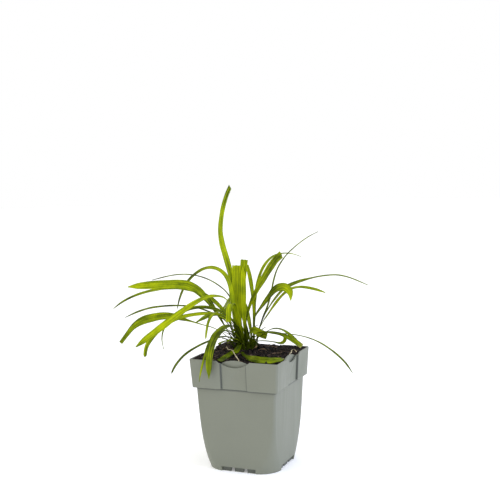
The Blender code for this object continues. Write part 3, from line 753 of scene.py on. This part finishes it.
def pot_shell(settings):
    steps = settings.corner_steps
    edge = settings.edge_round / MM
    inner_panel = PANEL_HALF + WALL
    ledge = COLLAR_FOOT + WALL
    edge_down = list(quarter_turn(edge))
    edge_up = edge_down[::-1]

    def body(z, inset, panel_half=PANEL_HALF):
        return square_outline(body_half(z) - inset, corner_radius(z) - inset, z, steps, panel_half)

    def collar(z, inset, panel_half=PANEL_HALF):
        radius = TOP_CORNER_RADIUS - inset
        return square_outline(collar_half(z) - inset, radius, z, steps, panel_half, PANEL_RECESS)

    levels = [COLLAR_FOOT * (step / BODY_STEPS) ** 0.8 for step in range(1, BODY_STEPS)]
    outlines = [body(drop, inset) for inset, drop in edge_up]
    outlines += [body(z, 0.0) for z in levels if z > 2 * edge]
    outlines.append(body(COLLAR_FOOT, 0.0))
    tab_foot = [(COLLAR_FOOT + drop, inset) for inset, drop in edge_up]
    tab_foot += [(COLLAR_FOOT + edge + (TAB_CORNER - edge) * step / 5, 0.0) for step in range(1, 6)]
    outlines += [collar(z, inset, PANEL_HALF + tab_cut(z)) for z, inset in tab_foot]
    outlines += [collar(POT_HEIGHT - drop, inset) for inset, drop in edge_down]
    outlines += [collar(POT_HEIGHT - drop, WALL - inset, inner_panel) for inset, drop in edge_up]
    outlines.append(collar(ledge, WALL, inner_panel))
    radius = TOP_CORNER_RADIUS - WALL
    outlines.append(square_outline(BODY_TOP_HALF - WALL, radius, ledge, steps, inner_panel))
    inside = [z for z in reversed(levels) if z > FLOOR_TOP + 1]
    outlines += [body(z, WALL, inner_panel) for z in (*inside, FLOOR_TOP)]
    return loft(bmesh.new(), outlines)


def tongue_arch():
    """Points of the tongue's arched top, from +X to -X."""
    radius = (TONGUE_HALF**2 + TONGUE_RISE**2) / (2 * TONGUE_RISE)
    half_angle = asin(TONGUE_HALF / radius)
    points = []
    for step in range(ARCH_STEPS + 1):
        angle = half_angle * (1 - 2 * step / ARCH_STEPS)
        points.append((radius * sin(angle), POT_HEIGHT - radius * (1 - cos(angle))))
    return points


def lean_with_collar(bm):
    """Shear a shape on the -Y side so that it follows the collar's draft."""
    for vert in bm.verts:
        vert.co.y += collar_slope() * (POT_HEIGHT - vert.co.z)
    return bm


def label_pocket():
    """The inner wall of the label slot, still solid; label_slot opens it."""
    profile = [(-TONGUE_HALF, POCKET_FOOT), (TONGUE_HALF, POCKET_FOOT), *tongue_arch()]
    outer = -(RIM_HALF - PANEL_RECESS - WALL / 2)
    outlines = [[Vector((x, y, z)) for x, z in profile] for y in (outer, -TONGUE_INNER)]
    return lean_with_collar(loft(bmesh.new(), outlines))


def label_slot():
    front = -(TONGUE_INNER + TONGUE_THICK)
    low = (-SLOT_HALF, front - SLOT_WIDTH, SLOT_FOOT)
    return lean_with_collar(box(low, (SLOT_HALF, front, POT_HEIGHT + 5)))


def rim_smile():
    """Round cutter for the dip in the outer wall's top edge."""
    radius = (SMILE_HALF**2 + SMILE_DEPTH**2) / (2 * SMILE_DEPTH)
    outer = RIM_HALF + 2
    inner = TONGUE_INNER + TONGUE_THICK + SLOT_WIDTH / 2
    upright = Matrix.Rotation(radians(90), 4, "X")
    place = Matrix.Translation((0, -(outer + inner) / 2, POT_HEIGHT - SMILE_DEPTH + radius))
    return cylinder(bmesh.new(), radius, outer - inner, 160, place @ upright)


def drain(offset):
    """Cutter for one drainage gap, wider at the ground, through base wall and floor."""
    outer = BODY_FOOT_HALF - BASE_SETBACK + 0.4
    bm = box((-1, -outer, -1), (1, -outer + DRAIN_LENGTH, FLOOR_TOP + 1))
    for vert in bm.verts:
        width = DRAIN_FOOT_WIDTH if vert.co.z < 0 else DRAIN_TOP_WIDTH
        vert.co.x = offset + vert.co.x * width / 2
    return bm


class LILYTURF_OT_pot(bpy.types.Operator):
    """Build the square moulded pot with its collar, label slots and drainage foot"""

    bl_idname = "lilyturf.pot"
    bl_label = "Pot"

    def execute(self, context):
        settings = context.scene.lilyturf_pot
        plastic = pot_plastic(settings)
        pot = new_piece("moulded_pot", pot_shell(settings), plastic, ["pot"], smooth=0)
        hollow_half = BODY_FOOT_HALF - BASE_SETBACK - BASE_WALL
        hollow_radius = FOOT_CORNER_RADIUS - BASE_SETBACK - BASE_WALL
        steps = settings.corner_steps
        hollow = [square_outline(hollow_half, hollow_radius, z, steps) for z in (-1.0, FLOOR_BOTTOM)]
        cutters = [loft(bmesh.new(), hollow)]
        pockets = []
        for side in range(4):
            pocket = label_pocket()
            foot_gap = box(
                (-FOOT_GAP_HALF, -BODY_FOOT_HALF - 2, -1),
                (FOOT_GAP_HALF, -BODY_FOOT_HALF + BASE_SETBACK, FLOOR_BOTTOM),
            )
            sides = [pocket, foot_gap, label_slot(), rim_smile(), drain(-DRAIN_OFFSET), drain(DRAIN_OFFSET)]
            for shape in sides:
                turn_to_side(shape, side)
            pockets.append(pocket)
            cutters += sides[1:]
        combine(pot, "UNION", pockets)
        combine(pot, "DIFFERENCE", cutters)
        depth = FLOOR_TOP - WALL / 2
        pad = cylinder(bmesh.new(), PAD_RADIUS, depth, 48, Matrix.Translation((0, 0, depth / 2)))
        combine(pot, "UNION", [pad])
        smooth_by_angle(pot, 35)
        return {"FINISHED"}


# Soil

def hump(x, y, place, spread_mm):
    reach = (x - place[0]) ** 2 + (y - place[1]) ** 2
    return exp(-reach / (2 * spread_mm**2))


def soil_height(x, y):
    """Top of the soil: heaped round the crown and at the back, low at the front right."""
    tilt = SOIL_TILT * (y - x) / RIM_HALF
    mound = MOUND * hump(x, y, MOUND_PLACE, MOUND_SPREAD)
    hollow = HOLLOW * hump(x, y, HOLLOW_PLACE, HOLLOW_SPREAD)
    lumps = 0.35 * sin(0.31 * x + 1.3) * cos(0.27 * y) + 0.25 * sin(0.5 * y + 0.22 * x)
    return SOIL_LEVEL + tilt + mound - hollow + lumps


def crumble(x, y, settings):
    """Height of the crumbly relief, from -0.4 to about 1.3 times the setting."""
    point = Vector((x, y, 0))
    coarse = noise.noise(point * 0.22)
    cells = noise.voronoi(point * 0.42)[0][0]
    fine = noise.noise(point * 1.1)
    return max(-0.4, 0.55 * coarse + 0.75 * (0.75 - cells) + 0.3 * fine) * settings.relief / MM


def clear_of_tongues(x, y, margin):
    """True where the plan point lies inside the pot and off its four tongues."""
    a, b = sorted((abs(x), abs(y)))
    return b < SOIL_EDGE - margin and not (a < TONGUE_HALF + margin and b > TONGUE_INNER - margin)


class LILYTURF_OT_soil(bpy.types.Operator):
    """Give the packed soil a crumbly top"""

    bl_idname = "lilyturf.soil"
    bl_label = "Soil"

    def execute(self, context):
        settings = context.scene.lilyturf_soil
        bm = bmesh.new()
        bm.from_mesh(frame["nodes"]["soil"].data)
        scale(bm, 1 / MM)
        bmesh.ops.remove_doubles(bm, verts=bm.verts, dist=0.002)
        high = [face for face in bm.faces if face.calc_center_median().z > SOIL_TOP_FROM]
        edges = {edge for face in high if face.normal.z > 0.6 for edge in face.edges}
        bmesh.ops.subdivide_edges(bm, edges=list(edges), cuts=SOIL_CUTS, use_grid_fill=True)
        for vert in bm.verts:
            x, y, z = vert.co
            if z > soil_height(x, y) - SOIL_SKIN:
                vert.co.z += crumble(x, y, settings)
        new_piece("crumbly_soil", bm, potting_soil(settings), ["soil"], smooth=60)
        return {"FINISHED"}


def add_crumb(bm, place, size, rng):
    detail = 2 if size > 1.1 else 1
    made = bmesh.ops.create_icosphere(bm, subdivisions=detail, radius=size)["verts"]
    stretch = Vector((rng.uniform(0.7, 1.3), rng.uniform(0.7, 1.3), rng.uniform(0.5, 0.9)))
    shift = Vector([rng.random() for axis in "xyz"]) * 50
    for vert in made:
        swell = 1 + 0.45 * noise.noise(vert.co * 1.3 / size + shift)
        vert.co = vert.co * stretch * swell
    turn = Matrix.Rotation(rng.uniform(0, pi), 3, (rng.random(), rng.random(), rng.random() + 0.1))
    bmesh.ops.rotate(bm, verts=made, cent=(0, 0, 0), matrix=turn)
    bmesh.ops.translate(bm, verts=made, vec=place)


def direction(line, i):
    """Unit vector along a line of points, at point i."""
    return (line[min(i + 1, len(line) - 1)] - line[max(i - 1, 0)]).normalized()


def add_tube(bm, line, radii, sides):
    """Tube along a line of points, closed at both ends."""
    outlines = []
    for i, place in enumerate(line):
        along = direction(line, i)
        side = Vector((along.y, -along.x, 0)).normalized()
        rise = side.cross(along)
        ring = []
        for corner in range(sides):
            angle = tau * corner / sides
            ring.append(place + radii[i] * (side * cos(angle) + rise * sin(angle)))
        outlines.append(ring)
    loft(bm, outlines)


class LILYTURF_OT_crumbs(bpy.types.Operator):
    """Scatter loose crumbs and fibres on the soil"""

    bl_idname = "lilyturf.crumbs"
    bl_label = "Crumbs and fibres"

    def execute(self, context):
        settings = context.scene.lilyturf_soil
        rng = random.Random(SEED)
        bm = bmesh.new()
        made = 0
        while made < settings.crumbs:
            x, y = (rng.uniform(-SOIL_EDGE, SOIL_EDGE) for axis in "xy")
            size = LEAST_CRUMB + CRUMB_SPREAD * rng.random() ** 3
            if clear_of_tongues(x, y, size + 0.5):
                ground = soil_height(x, y) + crumble(x, y, settings)
                add_crumb(bm, Vector((x, y, ground + 0.2 * size)), size, rng)
                made += 1
        new_piece("soil_crumbs", bm, potting_soil(settings))
        bm = bmesh.new()
        made = 0
        while made < settings.fibres:
            x, y = (rng.uniform(-SOIL_EDGE, SOIL_EDGE) for axis in "xy")
            heading = rng.uniform(0, tau)
            length = rng.uniform(3, 13)
            bend = rng.uniform(-1.2, 1.2)
            radius = rng.uniform(0.12, 0.3)
            tilt = rng.uniform(-0.1, 0.25)
            line = []
            for step in range(FIBRE_STEPS + 1):
                angle = heading + bend * step / FIBRE_STEPS
                x += length / FIBRE_STEPS * cos(angle)
                y += length / FIBRE_STEPS * sin(angle)
                ground = soil_height(x, y) + max(0.0, crumble(x, y, settings))
                line.append(Vector((x, y, ground + radius + tilt * step)))
            if all(clear_of_tongues(point.x, point.y, 1.0) for point in line):
                add_tube(bm, line, [radius * share for share in FIBRE_TAPER], 4)
                made += 1
        new_piece("soil_fibres", bm, plant_fibre(), smooth=80)
        return {"FINISHED"}


# Leaves

def blade_width(widths, tip, t, length):
    """Width of a blade at t. A cut or slanted tip keeps it; the others close over a last stretch."""
    width = spread(widths, t)
    left = (1 - t) * length
    if tip == "point" and left < POINT_LENGTH:
        width *= 1 - (1 - left / POINT_LENGTH) ** 1.6
    if tip == "blunt" and left < BLUNT_LENGTH:
        width *= sqrt(1 - (1 - left / BLUNT_LENGTH) ** 2)
    return max(width, LEAST_WIDTH)


def leaf_path(leaf, root):
    """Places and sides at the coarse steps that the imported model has."""
    count = max(LEAST_SEGMENTS, round(leaf.length / SEGMENT))
    step = leaf.length / count
    outward = toward(leaf.heading)
    across = Vector((outward.y, -outward.x, 0))
    place = root.copy()
    places = []
    sides = []
    for i in range(count + 1):
        t = i / count
        rise = radians(spread(leaf.rises, t))
        along = outward * cos(rise) + Vector((0, 0, sin(rise)))
        places.append(place.copy())
        sides.append(rotation(spread(leaf.rolls, t), along) @ across)
        middle = radians(spread(leaf.rises, t + 0.5 / count))
        place += step * (outward * cos(middle) + Vector((0, 0, sin(middle))))
    return places, sides


def leaf_stations(leaf, root):
    """Place, side and upper face at fine steps along a smooth curve through the coarse ones."""
    places, sides = leaf_path(leaf, root)
    rows = round(leaf.length / BLADE_ROW)
    line = [spread(places, i / rows) for i in range(rows + 1)]
    stations = []
    for i, place in enumerate(line):
        side = spread(sides, i / rows).normalized()
        stations.append((i / rows, place, side, side.cross(direction(line, i)).normalized()))
    return stations


def new_blades():
    """A bmesh whose points carry what the leaf material reads."""
    bm = bmesh.new()
    layers = {name: bm.verts.layers.float.new(name) for name in ("across", "along", "tone", "dry", "seed")}
    return bm, layers


def add_blade(bm, layers, stations, length, widths, tip, thickness, tones=(0.6, 0.6), dry=0.0):
    """Closed blade with a soft keel along its middle and slightly wavy margins."""
    rows = len(stations) - 1
    columns = 8 if max(widths) > 3 else 4
    made = bmesh.ops.create_grid(bm, x_segments=columns, y_segments=rows, size=0.5)["verts"]
    wave = stations[0][1].x + 3 * widths[0]
    for vert in made:
        t, place, side, upper = stations[round((vert.co.y + 0.5) * rows)]
        half = blade_width(widths, tip, t, length) / 2
        u = 2 * vert.co.x
        keel = KEEL * half * (1 - abs(u) ** 1.3)
        ripple = MARGIN_WAVE * half * abs(u) * sin(0.35 * t * length + wave + u)
        ragged = 0.0
        if tip == "cut" and t == 1:
            ragged = CUT_WAVE * sin(7 * u + wave)
        if tip == "slant":
            ragged = -SLANT * (1 + u) / 2 * smooth_step(1 - (1 - t) * length / SLANT_LENGTH)
        forward = upper.cross(side)
        vert.co = place + side * (u * half) - upper * (keel + ripple) + forward * ragged
        vert[layers["across"]] = u * half
        vert[layers["along"]] = t * length
        vert[layers["tone"]] = spread(tones, t)
        vert[layers["seed"]] = wave
        vert[layers["dry"]] = dry * smooth_step((t - DRY_FROM) / DRY_FADE)
    faces = list({face for vert in made for face in vert.link_faces})
    bmesh.ops.solidify(bm, geom=faces, thickness=thickness)


def add_leaf(bm, layers, leaf, root, thickness):
    stations = leaf_stations(leaf, root)
    add_blade(bm, layers, stations, leaf.length, leaf.widths, leaf.tip, thickness, leaf.tones, leaf.dry)


def blade_piece(name, bm, material, replaces=()):
    bmesh.ops.recalc_face_normals(bm, faces=bm.faces)
    new_piece(name, bm, material, replaces)


def add_sheath(bm, layers, place, foot, top):
    """Overlapping leaf bases at the soil: a ridged cone that narrows upwards."""
    rings = []
    for level in range(SHEATH_LEVELS + 1):
        share = level / SHEATH_LEVELS
        ring = []
        for corner in range(SHEATH_SIDES):
            angle = tau * corner / SHEATH_SIDES
            ridge = 0.93 + 0.07 * cos(5 * angle + 4 * share)
            radius = SHEATH_RADIUS * (1 - 0.3 * share) * ridge
            side = Vector((cos(angle), sin(angle), 0))
            ring.append(Vector((*place, foot + (top - foot) * share)) + radius * side)
        rings.append(ring)
    loft(bm, rings)
    for vert in bm.verts:
        vert[layers["across"]] = SHEATH_RADIUS * atan2(vert.co.y - place[1], vert.co.x - place[0])
        vert[layers["along"]] = 3 + 8 * (vert.co.z - foot) / (top - foot)
        vert[layers["tone"]] = 0.35


class LILYTURF_OT_shoots(bpy.types.Operator):
    """Grow the leafy shoots from the soil"""

    bl_idname = "lilyturf.shoots"
    bl_label = "Shoots"

    def execute(self, context):
        settings = context.scene.lilyturf_leaf
        material = leaf_blade(settings)
        thickness = settings.thickness / MM
        for shoot in SHOOTS:
            ground = soil_height(*shoot.place)
            bm, layers = new_blades()
            add_sheath(bm, layers, shoot.place, ground - SHEATH_DEPTH, ground + SHEATH_TOP)
            for number, leaf in enumerate(shoot.leaves):
                root = Vector((*shoot.place, ground + ROOT_LIFT + ROOT_STEP * (number % 4)))
                add_leaf(bm, layers, leaf, root + ROOT_RING * toward(leaf.heading), thickness)
            blade_piece(shoot.name + "_leaves", bm, material, replaces=[shoot.name])
        return {"FINISHED"}


# Loose pieces on the soil

def curve_on_soil(points, count):
    """Smooth curve through points whose third value is the height above the soil."""
    line = []
    for i in range(count + 1):
        x, y, height = (spread(values, i / count) for values in zip(*points))
        line.append(Vector((x, y, soil_height(x, y) + height)))
    return line


def ribbon_on_soil(points, rolls, count):
    line = curve_on_soil(points, count)
    stations = []
    for i, place in enumerate(line):
        along = direction(line, i)
        level = Vector((along.y, -along.x, 0)).normalized()
        side = rotation(spread(rolls, i / count), along) @ level
        stations.append((i / count, place, side, side.cross(along)))
    length = sum((b - a).length for a, b in zip(line, line[1:]))
    return stations, length


class LILYTURF_OT_loose_leaf(bpy.types.Operator):
    """Lay the loose leaf against the front of the pot"""

    bl_idname = "lilyturf.loose_leaf"
    bl_label = "Loose leaf"

    def execute(self, context):
        settings = context.scene.lilyturf_leaf
        stations, length = ribbon_on_soil(FALLEN_LEAF, FALLEN_ROLLS, 32)
        bm, layers = new_blades()
        thickness = settings.thickness / MM
        add_blade(bm, layers, stations, length, FALLEN_WIDTHS, "blunt", thickness, FALLEN_TONES, 0.4)
        blade_piece("loose_leaf", bm, leaf_blade(settings), replaces=["fallen_leaf"])
        return {"FINISHED"}


class LILYTURF_OT_roots(bpy.types.Operator):
    """Lay the bare roots on the soil"""

    bl_idname = "lilyturf.roots"
    bl_label = "Bare roots"

    def execute(self, context):
        material = bare_root()
        noise.seed_set(SEED)
        for side, points in (("front", FRONT_ROOT), ("right", RIGHT_ROOT)):
            line = curve_on_soil(points, ROOT_STEPS)
            line = [place + ROOT_WAVE * noise.noise_vector(place * 0.45) for place in line]
            radii = [ROOT_RADIUS * (0.75 + 0.3 * noise.noise(place * 0.6)) for place in line]
            radii[0] = radii[-1] = 0.2 * ROOT_RADIUS
            bm = bmesh.new()
            add_tube(bm, line, radii, 10)
            new_piece(side + "_bare_root", bm, material, [side + "_root"], smooth=60)
        return {"FINISHED"}


class LILYTURF_OT_scraps(bpy.types.Operator):
    """Drop dry scraps of old sheath beside the crown"""

    bl_idname = "lilyturf.scraps"
    bl_label = "Dry scraps"

    def execute(self, context):
        bm, layers = new_blades()
        for points in SCRAPS:
            stations, length = ribbon_on_soil(points, SCRAP_ROLLS, 14)
            add_blade(bm, layers, stations, length, SCRAP_WIDTHS, "blunt", SCRAP_THICKNESS)
        blade_piece("dry_scraps", bm, dry_sheath())
        return {"FINISHED"}


class LILYTURF_OT_stubs(bpy.types.Operator):
    """Stand the withered stubs of old leaves round the crown"""

    bl_idname = "lilyturf.stubs"
    bl_label = "Withered stubs"

    def execute(self, context):
        settings = context.scene.lilyturf_leaf
        bm, layers = new_blades()
        for x, y, heading, length, rise in STUBS:
            stub = Leaf(heading, length, STUB_WIDTHS, (88, rise, 0.3 * rise), (0, 20), (0, 0.15), dry=0.2)
            add_leaf(bm, layers, stub, Vector((x, y, soil_height(x, y) - 1)), settings.thickness / MM)
        blade_piece("withered_stubs", bm, leaf_blade(settings))
        return {"FINISHED"}


# Stage

CAMERA_PLACE = Vector((0.33903, -0.81404, 0.29100))
CAMERA_HEADING = 22.5
CAMERA_DIP = 5.36
CAMERA_ROLL = -1.30
LIGHT_AIM = Vector((0, 0, 0.12))
LIGHT_SIZE = 0.8
KEY_PLACE = (1.3, -0.2, 0.9)
KEY_COLOUR = (0.5, 0.61, 1.0)
FILL_PLACE = (-0.6, -0.9, 1.3)
FILL_COLOUR = (1.0, 0.98, 0.93)
FLOOR_RADIUS = 6.0


def soft_light(name, place, power, colour):
    light = bpy.data.lights.new(name, "AREA")
    light.shape = "DISK"
    light.size = LIGHT_SIZE
    light.energy = power
    light.color = colour
    lamp = add_object(name, light)
    lamp.location = place
    lamp.rotation_euler = (LIGHT_AIM - Vector(place)).to_track_quat("-Z", "Y").to_euler()


class LILYTURF_OT_stage(bpy.types.Operator):
    """Set the floor, the surround, the soft lights and the camera"""

    bl_idname = "lilyturf.stage"
    bl_label = "Stage"

    def execute(self, context):
        settings = context.scene.lilyturf_stage
        bm = bmesh.new()
        bmesh.ops.create_circle(bm, cap_ends=True, segments=96, radius=FLOOR_RADIUS)
        floor = add_object("floor", mesh_from("floor", bm))
        floor.data.materials.append(pale_floor())
        world = bpy.data.worlds.new("white_surround")
        world.use_nodes = True
        surround = world.node_tree.nodes["Background"]
        surround.inputs["Color"].default_value = (1.0, 1.0, 1.0, 1.0)
        surround.inputs["Strength"].default_value = settings.surround
        context.scene.world = world
        soft_light("key", KEY_PLACE, settings.key_power, KEY_COLOUR)
        soft_light("fill", FILL_PLACE, settings.fill_power, FILL_COLOUR)
        heading = radians(CAMERA_HEADING)
        dip = radians(CAMERA_DIP)
        level = cos(dip)
        back = Vector((sin(heading) * level, -cos(heading) * level, sin(dip)))
        right = toward(CAMERA_HEADING)
        up = back.cross(right)
        turn = Matrix((right, up, back)).transposed() @ rotation(CAMERA_ROLL, "Z")
        camera_data = bpy.data.cameras.new("camera")
        camera_data.lens = settings.lens
        camera = add_object("camera", camera_data)
        camera.matrix_world = Matrix.Translation(CAMERA_PLACE) @ turn.to_4x4()
        context.scene.camera = camera
        context.scene.view_settings.view_transform = "Standard"
        return {"FINISHED"}


# Add-on

SETTINGS = {
    "lilyturf_pot": PotSettings,
    "lilyturf_soil": SoilSettings,
    "lilyturf_leaf": LeafSettings,
    "lilyturf_stage": StageSettings,
}
OPERATORS = (
    LILYTURF_OT_pot, LILYTURF_OT_soil, LILYTURF_OT_crumbs, LILYTURF_OT_shoots, LILYTURF_OT_loose_leaf,
    LILYTURF_OT_roots, LILYTURF_OT_scraps, LILYTURF_OT_stubs, LILYTURF_OT_stage,
)


class LILYTURF_PT_panel(bpy.types.Panel):
    bl_label = "Potted Lilyturf"
    bl_idname = "LILYTURF_PT_panel"
    bl_space_type = "VIEW_3D"
    bl_region_type = "UI"
    bl_category = "Lilyturf"

    def draw(self, context):
        for operator in OPERATORS:
            self.layout.operator(operator.bl_idname)
        for name, group in SETTINGS.items():
            section = self.layout.box()
            for prop in group.__annotations__:
                section.prop(getattr(context.scene, name), prop)


def register():
    for group in (*SETTINGS.values(), *OPERATORS, LILYTURF_PT_panel):
        bpy.utils.register_class(group)
    for name, group in SETTINGS.items():
        setattr(bpy.types.Scene, name, PointerProperty(type=group))


def unregister():
    for name in SETTINGS:
        delattr(bpy.types.Scene, name)
    for group in reversed((*SETTINGS.values(), *OPERATORS, LILYTURF_PT_panel)):
        bpy.utils.unregister_class(group)


def main():
    register()
    bpy.ops.lilyturf.pot()
    bpy.ops.lilyturf.soil()
    bpy.ops.lilyturf.crumbs()
    bpy.ops.lilyturf.shoots()
    bpy.ops.lilyturf.loose_leaf()
    bpy.ops.lilyturf.roots()
    bpy.ops.lilyturf.scraps()
    bpy.ops.lilyturf.stubs()
    bpy.ops.lilyturf.stage()


if __name__ == "__main__":
    main()
